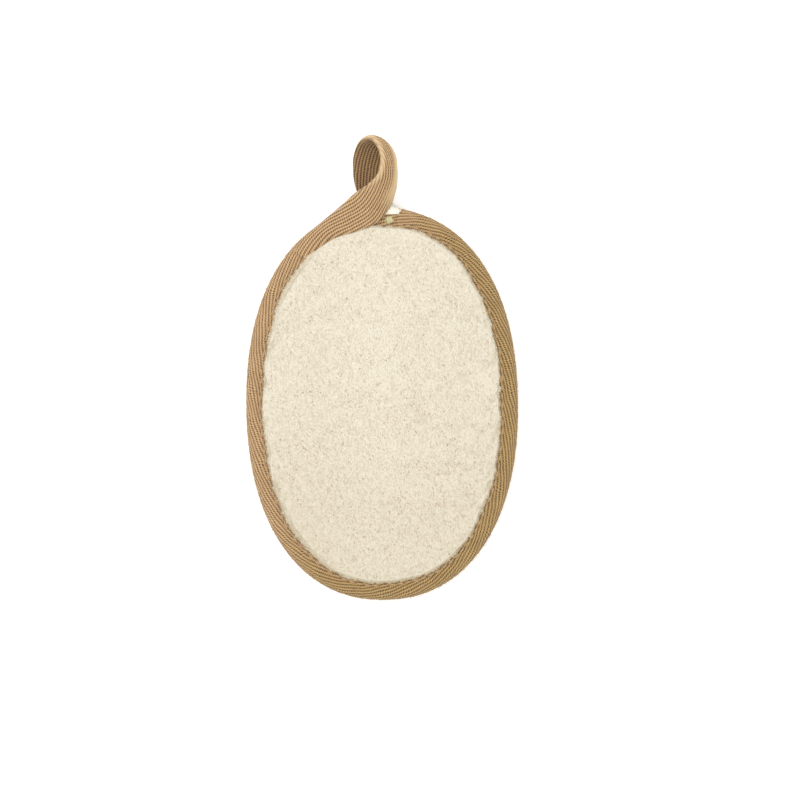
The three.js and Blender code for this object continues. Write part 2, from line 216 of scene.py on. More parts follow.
def shell_piece(name: str, rings: np.ndarray, top: np.ndarray, bottom: np.ndarray) -> bpy.types.Object:
    """Closed shell from a stack of rings with a pole at each end.

    Args:
        name: Name of the piece.
        rings: Points, rings by segments by 3, in millimetres, from the top inwards and round below.
        top, bottom: The two poles.

    Returns:
        The piece.
    """
    count, segments = rings.shape[:2]
    quads = band_quads(count, segments, count - 1)
    points = np.vstack([rings.reshape(-1, 3), top, bottom])
    j = np.arange(segments)
    side = (j + 1) % segments
    hub = count * segments
    last = (count - 1) * segments
    upper = np.stack([np.full(segments, hub), j, side], -1)
    lower = np.stack([np.full(segments, hub + 1), last + side, last + j], -1)
    if volume_of(points, quads) < 0:
        quads, upper, lower = quads[:, ::-1], upper[:, ::-1], lower[:, ::-1]
    loops = np.concatenate([quads.ravel(), upper.ravel(), lower.ravel()])
    sizes = np.concatenate([np.full(len(quads), 4), np.full(2 * segments, 3)])
    return finish_mesh(name, points, loops, sizes)


def fibre_piece(name: str, spines: np.ndarray, radii: np.ndarray, tint: np.ndarray) -> bpy.types.Object:
    """Many three-sided fibres in one piece, each tapered to a point.

    Args:
        name: Name of the piece.
        spines: Points that each fibre follows, fibres by points by 3, in millimetres.
        radii: Radius at each point but the tip, fibres by points less one.
        tint: One shade from 0 to 1 for each fibre, kept as the attribute "tint".

    Returns:
        The piece.
    """
    fibres, knots = spines.shape[:2]
    along = unit(spines[:, -1] - spines[:, 0])
    guide = np.where(np.abs(along[:, 2:3]) > 0.8, [[1.0, 0.0, 0.0]], [[0.0, 0.0, 1.0]])
    across = unit(np.cross(along, guide))
    other = np.cross(along, across)
    turn = np.array([0.0, 2.0, 4.0]) * math.pi / 3.0
    circle = np.cos(turn)[None, :, None] * across[:, None] + np.sin(turn)[None, :, None] * other[:, None]
    rings = spines[:, :-1, None] + radii[:, :, None, None] * circle[:, None]
    per = 3 * (knots - 1) + 1
    points = np.concatenate([rings.reshape(fibres, -1, 3), spines[:, -1:]], 1).reshape(-1, 3)
    side = []
    for ring in range(knots - 2):
        for k in range(3):
            n = (k + 1) % 3
            side.append([3 * ring + k, 3 * ring + n, 3 * ring + 3 + n, 3 * ring + 3 + k])
    last = 3 * (knots - 2)
    caps = [[last, last + 1, per - 1], [last + 1, last + 2, per - 1], [last + 2, last, per - 1], [0, 2, 1]]
    base = (np.arange(fibres) * per)[:, None]
    quads = base[:, :, None] + np.array(side, dtype=int).reshape(1, -1, 4)
    tips = base[:, :, None] + np.array(caps, dtype=int).reshape(1, -1, 3)
    loops = np.concatenate([quads.ravel(), tips.ravel()])
    sizes = np.concatenate([np.full(quads.size // 4, 4), np.full(tips.size // 3, 3)])
    return mark(finish_mesh(name, points, loops, sizes), "tint", np.repeat(tint, per))


def mark(obj: bpy.types.Object, name: str, values: np.ndarray) -> bpy.types.Object:
    """Keeps one number for each point of a piece under a name that its finish reads.

    Args:
        obj: The piece.
        name: Name of the attribute.
        values: One number for each point.

    Returns:
        The piece.
    """
    layer = obj.data.attributes.new(name, "FLOAT", "POINT")
    layer.data.foreach_set("value", values.astype(np.float32).ravel())
    return obj


def place(obj: bpy.types.Object, slot: str, material: bpy.types.Material) -> bpy.types.Object:
    """Gives a piece its material and lets it ride on the part.

    Args:
        obj: The piece.
        slot: Material slot of the record; not used.
        material: Its finish.

    Returns:
        The piece.
    """
    obj.data.materials.append(material)
    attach(obj, BODY)
    LOG.info("%s: %d faces", obj.name, len(obj.data.polygons))
    return obj


# Finishes


class Value:
    """A shader number that Python operators work on."""

    def __init__(self, graph: "Graph", socket: bpy.types.NodeSocket) -> None:
        """Keeps the graph and the socket that carries the number."""
        self.graph = graph
        self.socket = socket

    def __add__(self, other: "Value | float") -> "Value":
        """Sum."""
        return self.graph.math("ADD", self, other)

    __radd__ = __add__

    def __sub__(self, other: "Value | float") -> "Value":
        """Difference."""
        return self.graph.math("SUBTRACT", self, other)

    def __rsub__(self, other: float) -> "Value":
        """Difference from a number."""
        return self.graph.math("SUBTRACT", other, self)

    def __mul__(self, other: "Value | float") -> "Value":
        """Product."""
        return self.graph.math("MULTIPLY", self, other)

    __rmul__ = __mul__

    def __pow__(self, other: float) -> "Value":
        """Power."""
        return self.graph.math("POWER", self, other)

    def clamp(self) -> "Value":
        """The number held between 0 and 1."""
        return self.graph.math("MULTIPLY", self, 1.0, clamp=True)


class Graph:
    """Node graph of one material, with a Principled shader at its end."""

    def __init__(self, name: str, **constants: object) -> None:
        """Starts a material.

        Args:
            name: Name of the material.
            constants: Values of the shader's sockets, with an underscore for each space.
        """
        self.material = bpy.data.materials.new(name)
        self.material.use_nodes = True
        self.tree = self.material.node_tree
        self.shader = next(n for n in self.tree.nodes if n.type == "BSDF_PRINCIPLED")
        for key, value in constants.items():
            self.shader.inputs[key.replace("_", " ")].default_value = value

    def node(
        self, kind: str, settings: dict[str, object], sockets: dict[object, object]
    ) -> bpy.types.Node:
        """Adds a node.

        Args:
            kind: Node type.
            settings: Properties that are set first.
            sockets: Values or links of its inputs, by name or number.

        Returns:
            The node.
        """
        made = self.tree.nodes.new(kind)
        for key, value in settings.items():
            setattr(made, key, value)
        for key, value in sockets.items():
            if isinstance(value, Value):
                value = value.socket
            if isinstance(value, bpy.types.NodeSocket):
                self.tree.links.new(value, made.inputs[key])
            else:
                made.inputs[key].default_value = value
        return made

    def math(self, operation: str, a: "Value | float", b: "Value | float", clamp: bool = False) -> Value:
        """Math node on two numbers."""
        settings = {"operation": operation, "use_clamp": clamp}
        return Value(self, self.node("ShaderNodeMath", settings, {0: a, 1: b}).outputs[0])

    def wave(self, phase: Value) -> Value:
        """Wave from 0 to 1 over each whole number of the phase: half less half the cosine."""
        turned = self.math("COSINE", phase * (2 * math.pi), 0.0)
        return 0.5 - 0.5 * turned

    def mix(self, factor: Value, a: object, b: object, blend: str = "MIX") -> bpy.types.NodeSocket:
        """Colour between two colours."""
        settings = {"data_type": "RGBA", "blend_type": blend}
        return self.node("ShaderNodeMix", settings, {0: factor, 6: a, 7: b}).outputs[2]

    def place(self) -> bpy.types.NodeSocket:
        """Object coordinates, in metres."""
        return self.node("ShaderNodeTexCoord", {}, {}).outputs["Object"]

    def axis(self, number: int) -> Value:
        """One object coordinate."""
        split = self.node("ShaderNodeSeparateXYZ", {}, {0: self.place()})
        return Value(self, split.outputs[number])

    def pattern(self) -> tuple[Value, Value]:
        """Reads the piece's own map.

        Returns:
            Its two coordinates.
        """
        drawn = self.node("ShaderNodeUVMap", {"uv_map": "pattern"}, {}).outputs[0]
        split = self.node("ShaderNodeSeparateXYZ", {}, {0: drawn})
        return Value(self, split.outputs[0]), Value(self, split.outputs[1])

    def attribute(self, name: str) -> Value:
        """Number that the mesh carries at each point, or 0 where it has none of that name."""
        return Value(self, self.node("ShaderNodeAttribute", {"attribute_name": name}, {}).outputs["Fac"])

    def noise(self, size: float, detail: float = 2.0) -> Value:
        """Noise of a feature size in millimetres."""
        sockets = {"Vector": self.place(), "Scale": 1.0 / (size * MM), "Detail": detail}
        return Value(self, self.node("ShaderNodeTexNoise", {}, sockets).outputs[0])

    def step(self, value: Value, low: float, high: float) -> Value:
        """Soft step of a number from 0 at one edge to 1 at the other.

        Args:
            value: The number.
            low: Edge where the step is 0.
            high: Edge where the step is 1, above or below the other.

        Returns:
            The step.
        """
        sockets = {0: value, 1: low, 2: high}
        settings = {"interpolation_type": "SMOOTHSTEP"}
        return Value(self, self.node("ShaderNodeMapRange", settings, sockets).outputs[0])

    def foot(self) -> Value:
        """How far down the pad a place lies: 0 on its upper half and 1 near its foot."""
        return self.step(self.axis(1), *FOOT)

    def dim(self, factor: Value, tone: bpy.types.NodeSocket, shade: tuple) -> bpy.types.NodeSocket:
        """Colour times a shade, by a factor."""
        return self.mix(factor, tone, self.mix(1.0, tone, shade, "MULTIPLY"))

    def colour(self, socket: bpy.types.NodeSocket) -> None:
        """Feeds the base colour."""
        self.tree.links.new(socket, self.shader.inputs["Base Color"])

    def bump(self, height: Value, distance: float) -> None:
        """Feeds a bump.

        Args:
            height: Height field, in shares of the depth.
            distance: Depth in millimetres.
        """
        sockets = {"Strength": 1.0, "Distance": distance * MM, "Height": height}
        made = self.node("ShaderNodeBump", {}, sockets)
        self.tree.links.new(made.outputs[0], self.shader.inputs["Normal"])


@dataclass(frozen=True)
class TwillFinish:
    """Tan cotton twill: light slanting cords, each broken into a row of beads.

    The number of a bead is its step across the tape times beads_per_step plus its cord times
    beads_per_cord, so the beads shift from cord to cord. They show most where the tape lies
    flat. The grooves between the cords and the slits between the beads are darkened with
    painted shade. The inner face of the loop is in shade, and at the top of the loop, where
    the band turns over, a painted highlight makes its edges paler and their cords plainer.
    Painted shade makes the tape browner on the right side and at the foot of the pad than on
    the left.
    """

    crest: tuple = srgb(212, 175, 129)
    # the groove colour is painted shade in the grooves between the cords
    groove: tuple = srgb(98, 69, 38)
    # painted shade: the cord and groove colours on the right side and at the foot of the pad
    crest_shaded_right: tuple = srgb(192, 159, 103)
    groove_shaded_right: tuple = srgb(82, 57, 24)
    shade: tuple = srgb(204, 200, 190)
    # painted highlight where the loop's band turns over
    pale: tuple = srgb(214, 190, 148)
    beads_per_step: float = 1.45
    beads_per_cord: float = 6.3
    # where the painted shade on the right side and at the foot starts and is full, in metres
    shaded_right_edge: tuple = (-0.005, 0.03)
    shaded_low_edge: tuple = (-0.035, -0.06)

    def build(self) -> bpy.types.Material:
        """Makes the material, which reads cords and steps across the tape from the piece's map.

        Returns:
            The material.
        """
        g = Graph("twill", Roughness=0.9, Sheen_Weight=0.12, Sheen_Roughness=0.5)
        cord, across = g.pattern()
        wander = (g.noise(2.5) - 0.5) * 0.35 + (g.noise(0.9) - 0.5) * 0.3
        height = g.wave(cord + wander)
        hollow = (1.0 - height) ** 0.9
        number = across * self.beads_per_step + cord * self.beads_per_cord + wander * 2.0
        beads = g.step(g.wave(number), 0.3, 0.7)
        flat = g.attribute("flat")
        # painted shade that makes the tape browner on the right side and at the foot of the pad
        side = g.step(g.axis(0), *self.shaded_right_edge) + g.step(g.axis(1), *self.shaded_low_edge)
        light = g.mix(side.clamp(), self.crest, self.crest_shaded_right)
        dark = g.mix(side.clamp(), self.groove, self.groove_shaded_right)
        worn = g.noise(6.0) * 0.4 + g.noise(0.45) * 0.6
        # painted shade in the slits between the beads
        slit = flat * (1.0 - beads) * (1.0 - hollow) * 0.32
        # painted highlight where the loop turns over, which also makes its cords plainer
        turn_highlight = g.attribute("pale")
        # the depth darkens the colour as painted shade in the grooves and slits, and also drives the bump
        depth = (hollow * (1.1 - flat * beads * 0.5) + slit) * (1.0 - 0.6 * turn_highlight)
        factor = 1.05 - depth + (worn - 0.5) * 0.6
        tone = g.mix(turn_highlight * 0.7, g.mix(factor.clamp(), dark, light), self.pale)
        g.colour(g.dim(g.attribute("inner") * 0.9, tone, self.shade))
        g.bump(g.noise(0.25, 3.0) * 0.3 - depth * 0.6, 0.22)
        return g.material


@dataclass(frozen=True)
class PileFinish:
    """Short cotton pile in two near shades, which painted shade dims towards the foot of the pad.

    Its glow is painted light: an emission that lifts the shade between the fibres.
    """

    name: str
    low: tuple
    high: tuple
    roughness: float = 0.9
    foot_shade: tuple = WHITE
    painted_glow: float = 0.0

    def build(self) -> bpy.types.Material:
        """Makes the material, which reads each fibre's shade.

        Returns:
            The material.
        """
        g = Graph(self.name, Roughness=self.roughness, Sheen_Weight=0.2, Sheen_Roughness=0.4)
        # painted light: emission that fills the shade between the fibres
        g.shader.inputs["Emission Strength"].default_value = self.painted_glow
        shade = g.attribute("tint") * 0.9 + (g.noise(7.0) - 0.5) * 0.3 + 0.1
        tone = g.mix(shade.clamp(), self.low, self.high)
        # painted shade that dims the pile towards the foot of the pad
        shaded = g.dim(g.foot(), tone, self.foot_shade)
        g.colour(shaded)
        g.tree.links.new(shaded, g.shader.inputs["Emission Color"])
        return g.material


@dataclass(frozen=True)
class ClothFinish:
    """Cloth or loofah fibre in two shades with a fine mottle, which painted shade dims at the foot."""

    name: str
    low: tuple
    high: tuple
    grain: float = 0.7
    foot_shade: tuple = WHITE

    def build(self) -> bpy.types.Material:
        """Makes the material from fine and broad noise.

        Returns:
            The material.
        """
        g = Graph(self.name, Roughness=0.95)
        fine = g.noise(self.grain, 4.0)
        tone = g.mix((fine * 0.7 + g.noise(9.0) * 0.3).clamp(), self.low, self.high)
        # painted shade that dims the cloth towards the foot of the pad
        g.colour(g.dim(g.foot(), tone, self.foot_shade))
        g.bump(fine, 0.3)
        return g.material


@dataclass(frozen=True)
class ThreadFinish:
    """Twisted sewing thread."""

    low: tuple = srgb(150, 118, 78)
    high: tuple = srgb(206, 174, 130)

    def build(self) -> bpy.types.Material:
        """Makes the material with a fine mottle that stands for the twist.

        Returns:
            The material.
        """
        g = Graph("thread", Roughness=0.7, Sheen_Weight=0.2)
        twist = g.noise(0.3)
        g.colour(g.mix(twist, self.low, self.high))
        g.bump(twist, 0.1)
        return g.material


# The pad


@dataclass
class Outline:
    """Outline of the bound pad, a superellipse walked clockwise from the middle of the top."""

    half_width: float = 43.0
    half_length: float = 62.0
    power: float = 2.23
    samples: int = 1440
    lengths: np.ndarray = field(init=False)
    points: np.ndarray = field(init=False)

    def __post_init__(self) -> None:
        """Measures the length along the outline."""
        turn = math.pi / 2 - 2 * math.pi * np.arange(self.samples + 1) / self.samples
        c, s = np.cos(turn), np.sin(turn)
        spread = np.abs(c / self.half_width) ** self.power + np.abs(s / self.half_length) ** self.power
        radius = spread ** (-1 / self.power)
        self.points = np.stack([radius * c, radius * s], -1)
        steps = np.linalg.norm(np.diff(self.points, axis=0), axis=1)
        self.lengths = np.concatenate([[0.0], np.cumsum(steps)])

    @property
    def total(self) -> float:
        """Length all round."""
        return float(self.lengths[-1])

    def at(self, length: np.ndarray) -> tuple[np.ndarray, np.ndarray]:
        """Walks the outline.

        Args:
            length: Lengths along it.

        Returns:
            Points and outward normals, both with x and y last.
        """
        run = np.mod(length, self.total)
        x = np.interp(run, self.lengths, self.points[:, 0])
        y = np.interp(run, self.lengths, self.points[:, 1])
        nx = np.sign(x) * np.abs(x / self.half_width) ** (self.power - 1) / self.half_width
        ny = np.sign(y) * np.abs(y / self.half_length) ** (self.power - 1) / self.half_length
        return np.stack([x, y], -1), unit(np.stack([nx, ny], -1))

    def inset(self, length: np.ndarray, depth: np.ndarray, height: np.ndarray) -> np.ndarray:
        """Points inside the outline.

        Args:
            length: Lengths along the outline.
            depth: How far in from it.
            height: How far above the flat that the pad lies on.

        Returns:
            The points.
        """
        point, normal = self.at(length)
        depth, height = np.broadcast_to(depth, length.shape), np.broadcast_to(height, length.shape)
        return np.concatenate([point - depth[..., None] * normal, height[..., None]], -1)


@dataclass
class Tape:
    """The twill tape: the binding round the edge, its lapped start and the hanging loop."""

    outline: Outline
    radius: float = 3.0
    middle: float = 4.0
    thickness: float = 1.2
    front_reach: float = 5.5
    back_reach: float = 7.4
    cord_pitch: float = 0.98
    cord_lean: float = math.radians(12.5)
    cord_height: float = 0.2
    step_pitch: float = 0.25
    flat_end: tuple = (7.4, 5.2)
    edge_drop: float = 0.18
    edge_round: float = 0.3
    seam_inset: float = 0.95
    seam_width: float = 0.55
    seam_end: float = 36.0
    stitch: float = 2.9
    lap_start: float = 5.7
    lap_length: float = 11.0
    lap_height: float = 0.4
    loop_fold: tuple = (
        (-28.2, 49.4, 4.0), (-23.7, 53.8, 4.4), (-18.3, 58.3, 5.4), (-12.8, 62.7, 7.4),
        (-7.8, 66.9, 10.2), (-3.2, 69.8, 13.4), (-0.4, 72.8, 15.8), (0.5, 77.0, 16.6),
        (-0.4, 81.2, 15.0), (-3.1, 84.4, 11.2), (-6.3, 83.3, 7.2), (-8.2, 79.2, 4.0),
        (-8.5, 74.0, 2.9), (-7.6, 68.6, 2.7), (-5.4, 64.4, 3.2), (-3.9, 61.3, 3.7),
    )
    loop_edge: tuple = (
        (-23.6, 46.0, 6.5), (-19.9, 49.3, 7.0), (-14.6, 52.7, 7.4), (-7.4, 54.9, 7.6),
        (-0.6, 57.9, 7.6), (3.2, 62.6, 8.5), (5.0, 67.6, 9.7), (5.3, 72.8, 10.2),
        (4.9, 78.0, 10.0), (2.9, 81.6, 8.2), (1.0, 81.6, 4.7), (0.6, 78.0, 2.8),
        (0.8, 73.4, 2.1), (1.8, 68.6, 2.2), (3.6, 64.6, 3.0), (5.3, 61.2, 3.7),
    )
    loop_bulge: tuple = (1.7, 1.7, 1.4, 1.1, 1.0, 1.2, 1.2, 1.0, 0.8, 0.7, 0.6, 0.6, 0.5, 0.4, 0.2, 0.0)
    loop_thickness: float = 1.6

    @property
    def width(self) -> float:
        """Width of the tape round the edge: its two flat runs and half a circle."""
        return self.front_reach + self.back_reach - 2 * self.radius + math.pi * self.radius

    def flap(self, length: np.ndarray) -> np.ndarray:
        """How far the front flap reaches in: a little wider on the right, with a slight wave.

        Args:
            length: Lengths along the outline.

        Returns:
            The reach in from the outline.
        """
        turn = 2 * math.pi * length / self.outline.total
        wave = 0.14 * np.sin(9 * turn) + 0.1 * np.sin(17 * turn + 1)
        return self.front_reach + 0.1 * np.sin(turn) + wave

    def section(
        self, length: np.ndarray, radius: float, share: np.ndarray
    ) -> tuple[np.ndarray, np.ndarray, np.ndarray]:
        """Section of the binding at shares of the width, which run from the front flap's edge.

        The run is flat to the edge's round, then half a circle, then flat below the pad.

        Args:
            length: Lengths along the outline.
            radius: Radius of the round for this face of the tape.
            share: Shares of the width.

        Returns:
            Insets, heights and the outward direction as inset and height.
        """
        front = self.flap(length) - self.radius
        turned = math.pi * radius
        back = self.back_reach - self.radius
        run = share * (front + turned + back)
        turn = np.clip((run - front) / radius, 0.0, math.pi)
        before, after = np.minimum(run - front, 0), np.maximum(run - front - turned, 0)
        inset = self.radius - radius * np.sin(turn) - before + after
        height = self.middle + radius * np.cos(turn)
        return inset, height, np.stack([-np.sin(turn), np.cos(turn)], -1)

    def cords(self, length: np.ndarray, width: np.ndarray, total: float) -> np.ndarray:
        """Number of the twill cord at a place of the tape, a whole count over the total length."""
        count = round(total * math.sin(self.cord_lean) / self.cord_pitch)
        return count * (length - width / math.tan(self.cord_lean)) / total + self.wander(length, width)

    def relief(self, cord: np.ndarray) -> np.ndarray:
        """Round cord with a sharp groove: the root of half less half the cosine."""
        return self.cord_height * np.sqrt(0.5 - 0.5 * np.cos(2 * math.pi * cord))

    def wander(self, length: np.ndarray, width: np.ndarray) -> np.ndarray:
        """How far the cords stray from their even pitch, in cords."""
        return 0.12 * waves(length, 2.0 * width, 9.0, 0.9)

    def flatness(self, run: np.ndarray) -> np.ndarray:
        """How flat the tape lies at a width run: full between the seam and the edge's round."""
        return smooth(0.0, 0.8, run) * smooth(*self.flat_end, run)

    def seam(self, length: np.ndarray, run: np.ndarray) -> np.ndarray:
        """Depth that the stitches pull the tape down, most at the needle holes.

        Args:
            length: Lengths along the outline.
            run: Width runs from the flap's edge.

        Returns:
            The depth: a bell across the seam times a wave along it.
        """
        off = np.exp(-(((run - self.seam_inset) / self.seam_width) ** 2))
        hole = 0.5 + 0.5 * np.cos(2 * math.pi * length / self.stitch)
        return off * (0.22 + 0.2 * hole)

    def binding(self) -> bpy.types.Object:
        """Ring of tape carried round the outline, with its cords in relief.

        Returns:
            The piece, with its map and its flatness.
        """
        total = self.outline.total
        width = self.width
        rows, outer, inner = 560, 86, 8
        length = np.linspace(0, total, rows, endpoint=False)[:, None]
        share = np.linspace(0, 1, outer)[None, :]
        inset, height, out = self.section(length, self.radius, share)
        run = share * width + 0 * length
        cord = self.cords(length, run, total)
        front, back = np.exp(-run / self.edge_round), np.exp(-(width - run) / self.edge_round)
        edge = self.edge_drop * front + self.edge_drop * back
        fray = 0.06 * waves(length, run, 1.6, 0.7)
        pulled = self.seam(length, run) + self.seam(length, width - run)
        lift = self.relief(cord) - pulled - edge + fray
        spread = length + 0 * share
        top = self.outline.inset(spread, inset + lift * out[..., 0], height + lift * out[..., 1])
        share = np.linspace(1, 0, inner)[None, :]
        inset, height, _ = self.section(length, self.radius - self.thickness, share)
        under = self.outline.inset(length + 0 * share, inset, height)
        grid = np.concatenate([top, under], 1)
        lengths = np.linspace(0, total, rows + 1)[:, None]
        runs = np.concatenate([np.linspace(0, width, outer), np.linspace(width, 0, inner), [0.0]])[None, :]
        uv = np.stack([self.cords(lengths, runs, total), 0 * lengths + runs / self.step_pitch], -1)
        flat = np.concatenate([self.flatness(run), 0 * length + np.zeros((1, inner))], 1)
        return mark(grid_piece("tape_binding", grid, close_rows=True, uv=uv), "flat", flat)

    def lap(self) -> bpy.types.Object:
        """Square cut start of the tape at the top right, laid over the binding.

        Returns:
            The piece, with its map and its flatness.
        """
        total = self.outline.total
        width = self.width
        rows, outer = 40, 70
        along = np.linspace(0, 1, rows)[:, None]
        length = self.lap_start + self.lap_length * along
        share = np.linspace(0.005, 0.87, outer)[None, :]
        inset, height, out = self.section(length, self.radius, share)
        run = share * width + 0 * length
        lift = self.lap_height * (1 - along) - 0.3 * along + self.relief(self.cords(length, run, total))
        lift = lift - self.seam(length, run)
        spread = length + 0 * share
        top = self.outline.inset(spread, inset + lift * out[..., 0], height + lift * out[..., 1])
        under = self.outline.inset(spread, inset - 0.4 * out[..., 0], height - 0.4 * out[..., 1])[:, ::-1]
        grid = np.concatenate([top, under], 1)
        runs = np.concatenate([run[:1], run[:1, ::-1], run[:1, :1]], 1)
        uv = np.stack([self.cords(length, runs, total), 0 * length + runs / self.step_pitch], -1)
        flat = self.flatness(np.concatenate([run, run[:, ::-1]], 1))
        return mark(grid_piece("tape_lap", grid, uv=uv), "flat", flat)

    def spline(self, knots: tuple, share: np.ndarray) -> np.ndarray:
        """Centripetal Catmull-Rom curve through knots, at shares of its knot count.

        Between two knots it is the cubic that has their tangents, which weigh the steps to the
        next knots by the square roots of their lengths.

        Args:
            knots: Points in millimetres.
            share: Shares from 0 to 1.

        Returns:
            Points of the curve.
        """
        p = np.array(knots, dtype=float)
        p = np.vstack([2 * p[0] - p[1], p, 2 * p[-1] - p[-2]])
        at = share * (len(knots) - 1)
        i = np.minimum(at.astype(int), len(knots) - 2)
        w = (at - i)[:, None]
        a, b, c, d = p[i], p[i + 1], p[i + 2], p[i + 3]
        d0, d1, d2 = (np.sqrt(np.linalg.norm(v, axis=1))[:, None] for v in (b - a, c - b, d - c))
        t1 = ((b - a) / d0 - (c - a) / (d0 + d1) + (c - b) / d1) * d1
        t2 = ((c - b) / d1 - (d - b) / (d1 + d2) + (d - c) / d2) * d1
        return b + t1 * w + (3 * (c - b) - 2 * t1 - t2) * w**2 + (2 * (b - c) + t1 + t2) * w**3

    def loop(self) -> bpy.types.Object:
        """Loop band swept between its two edges, bowed towards its outer face.

        Each section runs over the outer face and back over the inner one; the half thickness
        falls to the edges, and the cords go on from the binding.

        Returns:
            The piece, with its map, its flatness, its shaded inner face and its painted highlight.
        """
        rows, columns = 300, 46
        share = np.linspace(0, 1, rows)
        fold, edge = self.spline(self.loop_fold, share), self.spline(self.loop_edge, share)
        across = edge - fold
        along = unit(np.gradient(fold, axis=0)) + unit(np.gradient(edge, axis=0))
        out = unit(np.cross(across, along))
        centre = (fold + edge) / 2
        run = np.concatenate([[0.0], np.cumsum(np.linalg.norm(np.diff(centre, axis=0), axis=1))])[:, None]
        knots = len(self.loop_bulge)
        bulge = np.interp(share * (knots - 1), np.arange(knots), self.loop_bulge)
        full = 0.9 + (self.loop_thickness - 0.9) * np.minimum(1, 5 * share)
        v = np.linspace(0, 1, columns)[None, :]
        bow = 4 * v * (1 - v)
        width = np.linalg.norm(across, axis=1)[:, None]
        wide = (1 - v) * width
        cord = (run * math.sin(self.cord_lean) - wide * math.cos(self.cord_lean)) / self.cord_pitch
        half = full[:, None] * (0.16 + 0.3 * np.sqrt(np.minimum(1, 3 * bow)))
        high = smooth(0.3, 0.42, share) * smooth(0.7, 0.6, share)
        turned = high[:, None] * smooth(0.45, 0.8, v)
        rim = high[:, None] * smooth(0.14, 0.02, v)
        faces = []
        for side in (1, -1):
            ribs = self.relief(cord) * np.minimum(1, 4 * bow) * (1 - 0.7 * turned)
            lift = bulge[:, None] * bow + side * (half + ribs)
            face = fold[:, None] + across[:, None] * v[..., None] + out[:, None] * lift[..., None]
            faces.append(face if side > 0 else face[:, ::-1])
        grid = np.concatenate(faces, 1)
        cords = np.concatenate([cord, cord[:, ::-1], cord[:, :1]], 1)
        steps = np.concatenate([wide, wide[:, ::-1], wide[:, :1]], 1) / self.step_pitch
        piece = grid_piece("tape_loop", grid, uv=np.stack([cords, steps], -1))
        shaded = smooth(0.3, 0.5, share)[:, None]
        mark(piece, "inner", np.concatenate([0 * shaded * v, shaded + 0 * v], 1))
        # pale: painted highlight on the band's edges where it turns over at the top of the loop
        mark(piece, "pale", np.concatenate([np.maximum(turned, 0.7 * rim), 0.5 * rim[:, ::-1]], 1))
        return mark(piece, "flat", np.concatenate([0.9 - 0.3 * shaded + 0 * v, 0.7 + 0 * shaded * v], 1))

    def stitches(self, side: Side) -> bpy.types.Object:
        """Row of stitches, each a spindle: its radius is the root of 1 less the share squared.

        Args:
            side: Face of the pad.

        Returns:
            The piece.
        """
        total = self.outline.total
        start = self.lap_start if side is Side.FRONT else 0.0
        end = total - (self.seam_end if side is Side.FRONT else 0.0)
        count = int((end - start) / self.stitch)
        length = start + self.stitch * (np.arange(count)[:, None, None] + 0.5)
        s = np.linspace(-1, 1, 7)[None, :, None]
        turn = np.linspace(0, 2 * math.pi, 6, endpoint=False)[None, None, :]
        radius = 0.24 * np.sqrt(np.clip(1.0 - s**2, 0.02, 1))
        run = length + 0.42 * self.stitch * s + 0 * turn
        inset = (self.flap(run) if side is Side.FRONT else self.back_reach) - self.seam_inset
        lap = self.lap_height * np.clip(1 - (run - self.lap_start) / self.lap_length, 0, 1)
        lift = 0.12 - 0.3 * s**2 + (lap if side is Side.FRONT else 0)
        height = self.middle + side.value * (self.radius + lift + radius * np.sin(turn))
        points = self.outline.inset(run, inset + 1.25 * radius * np.cos(turn), height)
        return many_tubes(f"stitches_{side.name.lower()}", points)

    def fuzz(self, rng: np.random.Generator, count: int = 5200) -> bpy.types.Object:
        """Short loose fibres that stand off the tape, most along its front edge.

        Args:
            rng: Seeded random numbers.
            count: How many fibres.

        Returns:
            The piece.
        """
        length = rng.uniform(0, self.outline.total, count)
        front = rng.random(count) < 0.45
        share = np.where(front, rng.uniform(0.0, 0.03, count), rng.uniform(0.03, 0.6, count))
        inset, height, out = self.section(length, self.radius, share)
        root = self.outline.inset(length, inset + 0.1 * out[..., 0], height + 0.1 * out[..., 1])
        _, normal = self.outline.at(length)
        turn = rng.uniform(0, 2 * math.pi, count)
        lie = np.stack([np.cos(turn), np.sin(turn), 0 * turn], -1)
        rise = np.concatenate([-normal * out[:, :1], out[:, 1:]], -1)
        reach = rng.uniform(0.35, 1.0, count)[:, None]
        middle = root + reach * (0.4 * rise + 0.35 * lie)
        tip = root + reach * (0.45 * rise + 1.0 * lie)
        radii = np.full((count, 2), 0.035)
        return fibre_piece("tape_fuzz", np.stack([root, middle, tip], 1), radii, rng.random(count))

    def build(self, rng: np.random.Generator) -> list[bpy.types.Object]:
        """Makes all the pieces of tape and thread.

        Args:
            rng: Seeded random numbers.

        Returns:
            The pieces.
        """
        twill = TwillFinish().build()
        thread = ThreadFinish().build()
        fluff = PileFinish("tape_fluff", srgb(160, 126, 86), srgb(222, 194, 154)).build()
        pieces = [place(self.binding(), "tape", twill), place(self.lap(), "tape", twill)]
        pieces += [place(self.loop(), "tape", twill), place(self.fuzz(rng), "tape", fluff)]
        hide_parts("twill_tape")
        for side in Side:
            row = place(self.stitches(side), "thread", thread)
            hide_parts(f"seam_thread_{side.name.lower()}")
            pieces.append(row)
        return pieces


def many_tubes(name: str, points: np.ndarray) -> bpy.types.Object:
    """Many closed tubes of one kind in one piece.

    Args:
        name: Name of the piece.
        points: Tubes by rows by columns by 3, in millimetres; columns close and ends get caps.

    Returns:
        The piece.
    """
    tubes, rows, columns = points.shape[:3]
    quads = band_quads(rows, columns, rows - 1)
    first = np.arange(columns)
    caps = np.stack([first, (rows - 1) * columns + first[::-1]])
    if volume_of(points[0].reshape(-1, 3), quads) < 0:
        quads, caps = quads[:, ::-1], caps[:, ::-1]
    base = (np.arange(tubes) * rows * columns)[:, None, None]
    loops = np.concatenate([(quads[None] + base).ravel(), (caps[None] + base).ravel()])
    sizes = np.concatenate([np.full(tubes * len(quads), 4), np.full(tubes * 2, columns)])
    return finish_mesh(name, points.reshape(-1, 3), loops, sizes)


